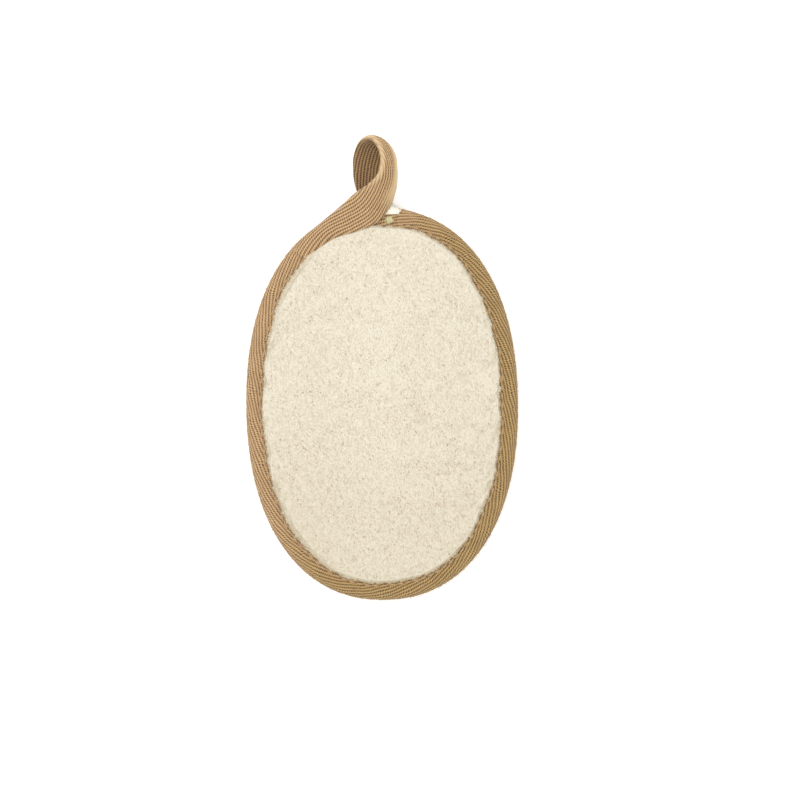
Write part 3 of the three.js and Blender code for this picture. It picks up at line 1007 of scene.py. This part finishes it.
@dataclass
class TerryFace:
    """The cream face: a panel held at the seam, its pile and its tan flecks."""

    outline: Outline
    tape: Tape
    rim_height: float = 5.5
    rim_inset: float = 3.1
    seam_reach: float = 0.06
    rise: float = 1.9
    crown: float = 5.0
    crown_power: float = 5.0
    rings: int = 38
    ring_power: float = 1.7
    segments: int = 150
    rim_depth: float = 1.1
    crown_depth: float = 2.2
    give: float = 0.9
    pile_pieces: int = 2
    pile_count: int = 44000
    panel: np.ndarray = field(init=False)

    def shares(self) -> np.ndarray:
        """Shares of the rings from the seam to near the middle, closer together at the seam."""
        even = np.linspace(0, 1, self.rings - 1)
        return 1 - 0.98 * even**self.ring_power

    def shape(self) -> np.ndarray:
        """Panel as cut and laid: flat under the tape, then crowned by 1 less the share to a power.

        Returns:
            Rings by segments by 3, from the rim to near the middle.
        """
        length = np.linspace(0, self.outline.total, self.segments, endpoint=False)[None, :]
        share = self.shares()[:, None]
        flat = np.full_like(length, self.rim_height)
        rim = self.outline.inset(length, np.full_like(length, self.rim_inset), flat)
        edge = self.outline.inset(length, self.tape.flap(length) + self.seam_reach, flat)
        inner = edge * np.stack([share, share, 0 * share + 1], -1)
        x, y = inner[..., 0], inner[..., 1]
        soft = 0.12 * waves(x, y, 19.0, 0.4) * smooth(1.0, 0.85, share)
        step = self.rise * np.minimum(1, (1 - share) / 0.024) ** 0.5
        dome = (self.crown - self.rise) * (1 - share**self.crown_power)
        inner[..., 2] = self.rim_height + step + dome + soft
        return np.concatenate([rim, edge, inner[1:]], 0)

    def relax(self, grid: np.ndarray) -> np.ndarray:
        """Lets the panel settle as cloth: pinned at the seam, a little full, pushed up from below.

        Args:
            grid: The panel before it settles.

        Returns:
            The settled panel, moved by no more than its give.
        """
        rows, columns = grid.shape[:2]
        quads = band_quads(rows, columns, rows - 1)[:, [0, 3, 2, 1]]
        obj = finish_mesh("panel_cloth", grid.reshape(-1, 3), quads.ravel(), np.full(len(quads), 4))
        pins = obj.vertex_groups.new(name="seam")
        pins.add(list(range(2 * columns)), 1.0, "REPLACE")
        pins.add(list(range((rows - 1) * columns, rows * columns)), 0.3, "REPLACE")
        cloth = obj.modifiers.new("cloth", "CLOTH")
        settings = cloth.settings
        settings.quality = 6
        settings.mass = 0.05
        settings.tension_stiffness = 20
        settings.compression_stiffness = 20
        settings.shear_stiffness = 8
        settings.bending_stiffness = 0.3
        settings.vertex_group_mass = "seam"
        settings.shrink_min = -0.02
        settings.use_pressure = True
        settings.uniform_pressure_force = 0.4
        settings.effector_weights.gravity = 0.0
        scene = bpy.context.scene
        for number in range(1, 19):
            scene.frame_set(number)
        settled = obj.evaluated_get(bpy.context.evaluated_depsgraph_get()).data
        flat = np.zeros(3 * len(settled.vertices), dtype=np.float32)
        settled.vertices.foreach_get("co", flat)
        moved = flat.reshape(grid.shape) / MM - grid
        scene.frame_set(1)
        bpy.data.objects.remove(obj, do_unlink=True)
        far = np.linalg.norm(moved, axis=-1, keepdims=True)
        LOG.info("panel settled by %.2f mm at most", float(far.max()))
        return grid + moved * np.minimum(1, self.give / np.maximum(far, 1e-6))

    def sheet(self) -> bpy.types.Object:
        """Closed panel: the settled face, and an under face that lies deeper towards the middle.

        Returns:
            The piece.
        """
        share = np.linspace(0, 1, self.rings)[:, None, None]
        drop = np.array([0, 0, 1.0]) * (self.rim_depth + (self.crown_depth - self.rim_depth) * share)
        under = (self.panel - drop)[::-1]
        rings = np.concatenate([under, self.panel], 0)
        centre = self.panel[-1].mean(0)
        return shell_piece("terry_panel", rings, centre - [0, 0, self.crown_depth], centre)

    def sample(self, ring: np.ndarray, turn: np.ndarray) -> np.ndarray:
        """Places on the panel, weighed between four of its grid points.

        Args:
            ring: Ring numbers, with fractions.
            turn: Segment numbers, with fractions.

        Returns:
            The places.
        """
        i = np.clip(ring.astype(int), 0, self.rings - 2)
        j = np.floor(turn).astype(int) % self.segments
        u, v = (ring - i)[:, None], (turn - np.floor(turn))[:, None]
        k = (j + 1) % self.segments
        near = self.panel[i, j] * (1 - v) + self.panel[i, k] * v
        far = self.panel[i + 1, j] * (1 - v) + self.panel[i + 1, k] * v
        return near * (1 - u) + far * u

    def scatter(self, rng: np.random.Generator, count: int) -> np.ndarray:
        """Even random places on the panel: the share from the middle is the root of a random number.

        Args:
            rng: Seeded random numbers.
            count: How many places.

        Returns:
            The places.
        """
        share = np.sqrt(rng.uniform(0.0, 1.0, count))
        ring = 1 + (np.clip((1 - share) / 0.98, 0, 1) ** (1 / self.ring_power)) * (self.rings - 2)
        return self.sample(np.minimum(ring, self.rings - 1.001), rng.uniform(0, self.segments, count))

    def lie(self, x: np.ndarray, y: np.ndarray) -> np.ndarray:
        """Angle at which the pile lies: up the pad, leaning apart towards the left corners.

        Args:
            x, y: Places in millimetres.

        Returns:
            Angles from the x axis.
        """
        left, right = smooth(0, 30, -x), smooth(0, 30, x)
        top, low = smooth(-5, 45, y), smooth(-5, 45, -y)
        turn = 98 - 42 * left * top + 26 * left * low + 14 * right * low
        return np.radians(turn + 20 * waves(x, y, 15.0, 1.3) + 14 * waves(x, y, 6.0, 2.1))

    def pile(self, name: str, rng: np.random.Generator, count: int) -> bpy.types.Object:
        """Short pile: spikes that lie over along the nap, longer where they gather in strokes.

        Args:
            name: Name of the piece.
            rng: Seeded random numbers.
            count: How many spikes.

        Returns:
            The piece.
        """
        root = self.scatter(rng, count)
        x, y = root[:, 0], root[:, 1]
        turn = self.lie(x, y) + rng.normal(0, 0.35, count)
        turn = turn + math.pi * (rng.random(count) < 0.3)
        rise = rng.uniform(0.05, 0.34, count)
        flat = np.stack([np.cos(turn), np.sin(turn)], -1) * np.cos(rise)[:, None]
        stroke = 0.5 + 0.5 * waves(x, 0.45 * y, 2.4, 0.9)
        reach = rng.uniform(0.45, 0.85, count) * (0.85 + 0.3 * stroke)
        tip = root + reach[:, None] * np.concatenate([flat, np.sin(rise)[:, None]], -1)
        root = root - [0, 0, 0.06]
        tint = np.clip(0.5 + 0.12 * stroke + rng.normal(0, 0.14, count), 0, 1)
        return fibre_piece(name, np.stack([root, tip], 1), np.full((count, 1), 0.075), tint)

    def flecks(self, rng: np.random.Generator, count: int = 1100) -> bpy.types.Object:
        """Specks of husk: short tan fibres near the tips of the pile, gathered in loose patches.

        Args:
            rng: Seeded random numbers.
            count: Half the number of specks that are thrown, before the patches thin them out.

        Returns:
            The piece.
        """
        root = self.scatter(rng, 2 * count)
        x, y = root[:, 0], root[:, 1]
        keep = rng.random(2 * count) < 0.36 + 0.3 * waves(x, y, 8.0, 2.7) + 0.24 * smooth(20.0, -30.0, y)
        root, x, y = root[keep], x[keep], y[keep]
        number = len(root)
        turn = self.lie(x, y) + rng.normal(0, 0.5, number)
        reach = rng.uniform(0.25, 0.55, number) * np.where(rng.random(number) < 0.2, 1.8, 1.0)
        step = reach[:, None] * np.stack([np.cos(turn), np.sin(turn), 0 * turn + 0.12], -1)
        start = root + [0, 0, 0.3] + 0 * step
        radii = np.full((number, 2), 0.13)
        radii[:, 0] = 0.08
        spines = np.stack([start, start + 0.5 * step, start + step], 1)
        return fibre_piece("terry_flecks", spines, radii, rng.random(number))

    def rim_pile(self, rng: np.random.Generator, count: int = 13000) -> bpy.types.Object:
        """Pile beside the seam that lies out over the tape's edge, in uneven tufts.

        Args:
            rng: Seeded random numbers.
            count: How many fibres.

        Returns:
            The piece.
        """
        length = rng.uniform(0, self.outline.total, count)
        tuft = 0.5 + 0.5 * waves(length, 0 * length, 3.1, 0.3)
        depth = rng.uniform(0.1, 1.2, count)
        root = self.outline.inset(length, self.tape.flap(length) + depth, 6.75 + 0.25 * depth)
        _, normal = self.outline.at(length)
        turn = rng.normal(0, 0.8, count)
        c, d = np.cos(turn), np.sin(turn)
        away = np.stack([normal[:, 0] * c - normal[:, 1] * d, normal[:, 0] * d + normal[:, 1] * c], -1)
        reach = rng.uniform(0.45, 0.9, count) * (0.55 + 0.8 * tuft)
        middle = root + np.concatenate([0.5 * reach[:, None] * away, 0.3 * reach[:, None] + 0.1], -1)
        tip = root + np.concatenate([reach[:, None] * away, 0.3 * reach[:, None]], -1)
        tint = np.clip(0.6 + rng.normal(0, 0.15, count), 0, 1)
        radii = np.full((count, 2), 0.12)
        return fibre_piece("terry_rim_pile", np.stack([root, middle, tip], 1), radii, tint)

    def build(self, rng: np.random.Generator) -> list[bpy.types.Object]:
        """Makes the panel, its pile and its flecks.

        Args:
            rng: Seeded random numbers.

        Returns:
            The pieces, the panel first.
        """
        self.panel = self.relax(self.shape())
        # painted shade dims the ground and the pile towards the foot of the pad
        low, high, foot_shade = srgb(221, 212, 193), srgb(228, 221, 204), (0.93, 0.92, 0.89, 1.0)
        ground = ClothFinish("terry_ground", low, high, foot_shade=foot_shade).build()
        low, high, foot_shade = srgb(187, 175, 151), srgb(197, 190, 171), (0.9, 0.88, 0.84, 1.0)
        # the pile's glow is painted light that lifts the shade between its fibres
        pile = PileFinish("terry_pile", low, high, foot_shade=foot_shade, painted_glow=0.45).build()
        fleck = PileFinish("terry_fleck", srgb(182, 144, 100), srgb(220, 194, 156)).build()
        sheet = place(self.sheet(), "terry", ground)
        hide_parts("terry_face")
        pieces = [sheet]
        for number in range(self.pile_pieces):
            spikes = self.pile(f"terry_pile_{number + 1}", rng, self.pile_count)
            pieces.append(place(spikes, "terry", pile))
        pieces.append(place(self.rim_pile(rng), "terry", pile))
        pieces.append(place(self.flecks(rng), "terry", fleck))
        return pieces


@dataclass
class LoofahBack:
    """The loofah: a pressed slab with its raised net of fibres."""

    outline: Outline
    rim: float = 4.1
    crown: float = 5.0
    crown_power: float = 4.0
    net_depth: float = 1.1
    edge_height: float = 2.6
    upper_inset: float = 6.9
    open_inset: float = 8.4
    strand_inset: float = 10.2
    strand_more: float = 1.7
    strand_low: float = 0.55
    cross_low: float = 0.42
    share_inset: float = 8.6
    thread_inset: float = 7.5
    long_strands: int = 7
    cross_strands: int = 9

    def base(self, share: np.ndarray) -> np.ndarray:
        """Underside between the strands: flat in the middle, drawn up at the binding."""
        rise = smooth(0.84, 1.0, share)
        return self.net_depth + (self.edge_height - self.net_depth) * rise

    def slab(self) -> bpy.types.Object:
        """Slab with a rough underside: rings above, round the edge and below.

        Returns:
            The piece.
        """
        segments = 240
        length = np.linspace(0, self.outline.total, segments, endpoint=False)[None, :]

        def ring(inset: float, share: np.ndarray) -> np.ndarray:
            """Rings at an inset, drawn in by shares."""
            flat = self.outline.inset(length, np.full_like(length, inset), np.zeros_like(length))
            return flat * np.stack([share, share, 0 * share + 1], -1)

        share = np.array([0.03, 0.3, 0.6, 0.82, 0.93, 1.0])[:, None]
        upper = ring(self.upper_inset, share)
        dip = np.array([1.2, 1.2, 1.05, 0.85, 0.5, 0.1])[:, None]
        upper[..., 2] = self.rim + self.crown * (1 - share**self.crown_power) - dip
        sides = []
        for inset, height in ((2.1, self.rim), (1.85, 3.5), (3.1, self.edge_height)):
            side = ring(inset, np.ones((1, 1)))
            side[..., 2] = height
            sides.append(side)
        share = np.linspace(1, 0.03, 40)[:, None]
        lower = ring(self.open_inset, share)
        rough = 0.35 * np.abs(waves(lower[..., 0], lower[..., 1], 5.0, 1.7))
        lower[..., 2] = self.base(share) + rough * smooth(1.0, 0.9, share) + 0.25
        rings = np.concatenate([upper, *sides, lower], 0)
        top = np.array([0, 0, self.rim + self.crown - 1.2])
        return shell_piece("loofah_slab", rings, top, lower[-1].mean(0))

    def half_axes(self, inset: float) -> tuple[float, float]:
        """Half width and half length of the back at an inset from the outline."""
        return self.outline.half_width - inset, self.outline.half_length - inset

    def reach(self, place: np.ndarray, across: float, along: float) -> np.ndarray:
        """Half length of a chord of the open back at a distance from its middle line."""
        share = np.clip(np.abs(place / across), 0, 1) ** self.outline.power
        return along * (1 - share) ** (1 / self.outline.power)

    def strands(self) -> np.ndarray:
        """Middle lines of the main strands, as in the solid: along the pad and across it.

        Returns:
            Strands by points by 2, the long ones first.
        """
        a, b = self.half_axes(self.strand_inset)
        t = np.linspace(-1, 1, 61)[None, :]
        fade = 1 - t**4
        i = np.arange(self.long_strands)[:, None]
        x = (a - 2.4) * (2 * i / (self.long_strands - 1) - 1)
        sway = 1.5 * np.sin(2.6 * (i - (self.long_strands - 1) / 2) + 5.1 * t) * fade
        long = np.stack([x * (1 - 0.1 * t**2) + sway, (self.reach(x, a, b) + self.strand_more) * t], -1)
        i = np.arange(self.cross_strands)[:, None]
        y = (b - 5) * (2 * i / (self.cross_strands - 1) - 1)
        lean = np.where(i % 2 == 1, 0.16, -0.13) * (1 - np.abs(y) / b)
        far = self.reach(y, b, a) + self.strand_more
        sway = 1.2 * np.sin(1.9 * (i - (self.cross_strands - 1) / 2) + 4.3 * t) * fade
        cross = np.stack([0.97 * far * t, y + lean * far * t + sway], -1)
        return np.concatenate([long, cross], 0)

    def threads(self, rng: np.random.Generator, count: int) -> np.ndarray:
        """Middle lines of fine fibres: chords of the back at all angles, swayed by two waves.

        Args:
            rng: Seeded random numbers.
            count: How many fibres.

        Returns:
            Fibres by points by 2.
        """
        a, b = self.half_axes(self.thread_inset)
        along = rng.random(count) < 0.55
        turn = np.where(along, rng.normal(0, 0.35, count), rng.uniform(0, math.pi, count))
        off = rng.uniform(-0.97, 0.97, count)
        t = np.linspace(-1, 1, 41)[None, :]
        far = np.sqrt(1 - off**2)[:, None]
        u = far * t
        v = off[:, None] + 0 * t
        phase = rng.uniform(0, 6.28, (count, 2))
        v = v + (0.03 * np.sin(7 * t + phase[:, :1]) + 0.015 * np.sin(19 * t + phase[:, 1:])) * (1 - t**4)
        c, s = np.cos(turn)[:, None], np.sin(turn)[:, None]
        x, y = u * c - v * s, u * s + v * c
        stretch = np.minimum(1, 0.98 / np.sqrt(x**2 + y**2).max(1, keepdims=True))
        return np.stack([a * x * stretch, b * y * stretch], -1)

    def net(
        self, name: str, lines: np.ndarray, width: float, tall: float, low: np.ndarray
    ) -> bpy.types.Object:
        """Flattened six-sided fibres carried along their middle lines just below the slab.

        Args:
            name: Name of the piece.
            lines: Middle lines, fibres by points by 2.
            width: Half width of a fibre.
            tall: Half height of a fibre.
            low: How far each fibre's middle lies under the slab's base.

        Returns:
            The piece.
        """
        x, y = lines[..., 0], lines[..., 1]
        a, b = self.half_axes(self.share_inset)
        power = self.outline.power
        share = (np.abs(x / a) ** power + np.abs(y / b) ** power) ** (1 / power)
        middle = np.maximum(self.base(np.minimum(share, 1)) - low[:, None], tall + 0.02)
        along = unit(np.gradient(lines, axis=1))
        side = np.stack([-along[..., 1], along[..., 0]], -1)
        turn = np.linspace(0, 2 * math.pi, 6, endpoint=False)
        thick = 1 + 0.25 * waves(x, y, 6.0, 1.1)
        out = (width * thick)[..., None] * np.cos(turn)
        flat = lines[..., None, :] + side[..., None, :] * out[..., None]
        height = middle[..., None] + tall * np.sin(turn)
        return many_tubes(name, np.concatenate([flat, height[..., None]], -1))

    def build(self, rng: np.random.Generator) -> list[bpy.types.Object]:
        """Makes the slab, its main strands and two layers of fine fibres.

        Args:
            rng: Seeded random numbers.

        Returns:
            The pieces.
        """
        core = ClothFinish("loofah_core", srgb(150, 118, 70), srgb(208, 180, 128), 1.1).build()
        fibre = ClothFinish("loofah_fibre", srgb(196, 164, 108), srgb(236, 214, 166), 0.9).build()
        slab = place(self.slab(), "loofah", core)
        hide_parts("loofah_body")
        main = self.strands()
        low = np.where(np.arange(len(main)) < self.long_strands, self.strand_low, self.cross_low)
        pieces = [slab, place(self.net("loofah_strands", main, 0.75, 0.5, low), "loofah", fibre)]
        for number, (count, width, low) in enumerate(((150, 0.3, 0.1), (120, 0.22, 0.55))):
            lines = self.threads(rng, count)
            depth = low + rng.uniform(-0.15, 0.3, count)
            piece = self.net(f"loofah_net_{number + 1}", lines, width, 0.8 * width, depth)
            pieces.append(place(piece, "loofah", fibre))
        return pieces


@dataclass
class EndTuft:
    """Pale fibre that shows in the notch where the ends of the tape meet, and a scrap below it."""

    centre: tuple = (3.1, 61.6, 6.0)
    spread: float = 2.3
    count: int = 1200
    scrap_centre: tuple = (2.85, 58.5, 7.3)
    scrap_spread: float = 0.55
    scrap_count: int = 160

    def tuft(self, rng: np.random.Generator) -> bpy.types.Object:
        """Fibres that rise from inside the binding and lean up the pad.

        Args:
            rng: Seeded random numbers.

        Returns:
            The piece.
        """
        across = rng.normal(0, 0.42 * self.spread, self.count)
        deep = rng.uniform(-2.6, 1.6, self.count)
        x, y, z = self.centre
        root = np.stack([x + across, np.full(self.count, y - 1.4), z + deep], -1)
        reach = rng.uniform(2.2, 3.6, self.count) * (1 - 0.25 * (across / self.spread) ** 2)
        lean = 0.18 * across + rng.normal(0, 0.35, self.count)
        middle = root + np.stack([0.4 * lean, 0.6 * reach, rng.normal(0, 0.2, self.count)], -1)
        tip = root + np.stack([lean, reach, rng.normal(0, 0.6, self.count)], -1)
        spines = np.stack([root, middle, tip], 1)
        return fibre_piece("end_tuft", spines, np.full((self.count, 2), 0.17), rng.random(self.count))

    def scrap(self, rng: np.random.Generator) -> bpy.types.Object:
        """Small flat tangle of loofah fibre caught on the tape.

        Args:
            rng: Seeded random numbers.

        Returns:
            The piece.
        """
        size = np.array([self.scrap_spread, 0.8 * self.scrap_spread, 0.08])
        root = np.array(self.scrap_centre) + rng.normal(0, 1, (self.scrap_count, 3)) * size
        turn = rng.uniform(0, 2 * math.pi, self.scrap_count)
        step = np.stack([np.cos(turn), np.sin(turn), rng.normal(0, 0.15, self.scrap_count)], -1)
        middle = root + 0.35 * step + [0, 0, 0.1]
        spines = np.stack([root, middle, root + 0.8 * step], 1)
        radii = np.full((self.scrap_count, 2), 0.09)
        return fibre_piece("loofah_scrap", spines, radii, rng.random(self.scrap_count))

    def build(self, rng: np.random.Generator) -> list[bpy.types.Object]:
        """Makes the tuft and the scrap.

        Args:
            rng: Seeded random numbers.

        Returns:
            The pieces.
        """
        # the tuft's glow is painted light that lifts it out of the loop's shadow
        pale = PileFinish("tuft_pale", srgb(250, 244, 222), srgb(255, 253, 243), painted_glow=0.14).build()
        green = PileFinish("scrap_pale", srgb(222, 209, 150), srgb(246, 238, 200)).build()
        return [place(self.tuft(rng), "terry", pale), place(self.scrap(rng), "loofah", green)]


@dataclass
class Studio:
    """Pale floor, soft light from the upper left and the camera straight above."""

    pixels_per_mm: float = 3.161
    image: float = 800.0
    aim: tuple = (5.69, 1.27)
    height: float = 1.2
    roll: float = math.radians(-0.6)
    film: float = 36.0
    face_height: float = 0.01
    sky: float = 0.8
    floor_glow: float = 0.32
    floor_half: float = 900.0
    floor_height: float = -0.1
    key_place: tuple = (-0.35, 0.35, 1.0)
    key_size: float = 0.8
    key_power: float = 5.4
    fill_place: tuple = (0.4, -0.4, 1.0)
    fill_size: float = 0.9
    fill_power: float = 3.0

    def floor(self) -> None:
        """Pale floor that is clear from below."""
        g = Graph("floor", Roughness=0.9, Base_Color=(0.93, 0.93, 0.93, 1.0))
        g.shader.inputs["Emission Color"].default_value = WHITE
        g.shader.inputs["Emission Strength"].default_value = self.floor_glow
        clear = g.node("ShaderNodeBsdfTransparent", {}, {})
        behind = g.node("ShaderNodeNewGeometry", {}, {}).outputs["Backfacing"]
        both = g.node("ShaderNodeMixShader", {}, {0: behind, 1: g.shader.outputs[0], 2: clear.outputs[0]})
        end = next(n for n in g.tree.nodes if n.type == "OUTPUT_MATERIAL")
        g.tree.links.new(both.outputs[0], end.inputs[0])
        size, low = self.floor_half, self.floor_height
        points = np.array([[-size, -size, low], [size, -size, low], [size, size, low], [-size, size, low]])
        obj = finish_mesh("floor", points, np.arange(4), np.array([4]))
        obj.data.materials.append(g.material)

    def lamp(self, name: str, place: tuple, size: float, power: float) -> None:
        """Square soft lamp that points at the pad.

        Args:
            name: Name of the lamp.
            place: Where it stands, in metres.
            size: Its side, in metres.
            power: Its power, in watts.
        """
        data = bpy.data.lights.new(name, "AREA")
        data.shape, data.size, data.energy = "SQUARE", size, power
        obj = bpy.data.objects.new(name, data)
        bpy.context.scene.collection.objects.link(obj)
        obj.location = place
        back = np.array(place) / np.linalg.norm(place)
        obj.rotation_euler = (math.acos(back[2]), 0.0, math.atan2(back[0], -back[1]))

    def camera(self) -> None:
        """Long lens straight down, framed as 253 mm of the pad's plane across the picture."""
        data = bpy.data.cameras.new("camera")
        wide = self.image / self.pixels_per_mm * MM
        data.sensor_width = self.film
        data.lens = self.film * (self.height - self.face_height) / wide
        data.clip_start, data.clip_end = 0.05, 20.0
        obj = bpy.data.objects.new("camera", data)
        bpy.context.scene.collection.objects.link(obj)
        obj.location = (self.aim[0] * MM, self.aim[1] * MM, self.height)
        obj.rotation_euler = (0.0, 0.0, self.roll)
        bpy.context.scene.camera = obj

    def build(self) -> None:
        """Sets the stage."""
        scene = bpy.context.scene
        scene.view_settings.view_transform = "Standard"
        world = bpy.data.worlds.new("studio")
        world.use_nodes = True
        sky = world.node_tree.nodes["Background"]
        sky.inputs[0].default_value = WHITE
        sky.inputs[1].default_value = self.sky
        scene.world = world
        self.camera()
        self.floor()
        self.lamp("key", self.key_place, self.key_size, self.key_power)
        self.lamp("fill", self.fill_place, self.fill_size, self.fill_power)


def main() -> None:
    """Builds the studio and the pad, piece by piece."""
    logging.basicConfig(level=logging.INFO, format="%(message)s")
    rng = np.random.default_rng(SEED)
    outline = Outline()
    Studio().build()
    back = LoofahBack(outline).build(rng)
    binding = Tape(outline)
    face = TerryFace(outline, binding).build(rng)
    tape = binding.build(rng)
    tuft = EndTuft().build(rng)
    LOG.info("%d pieces", len(back + face + tape + tuft))


if __name__ == "__main__":
    main()
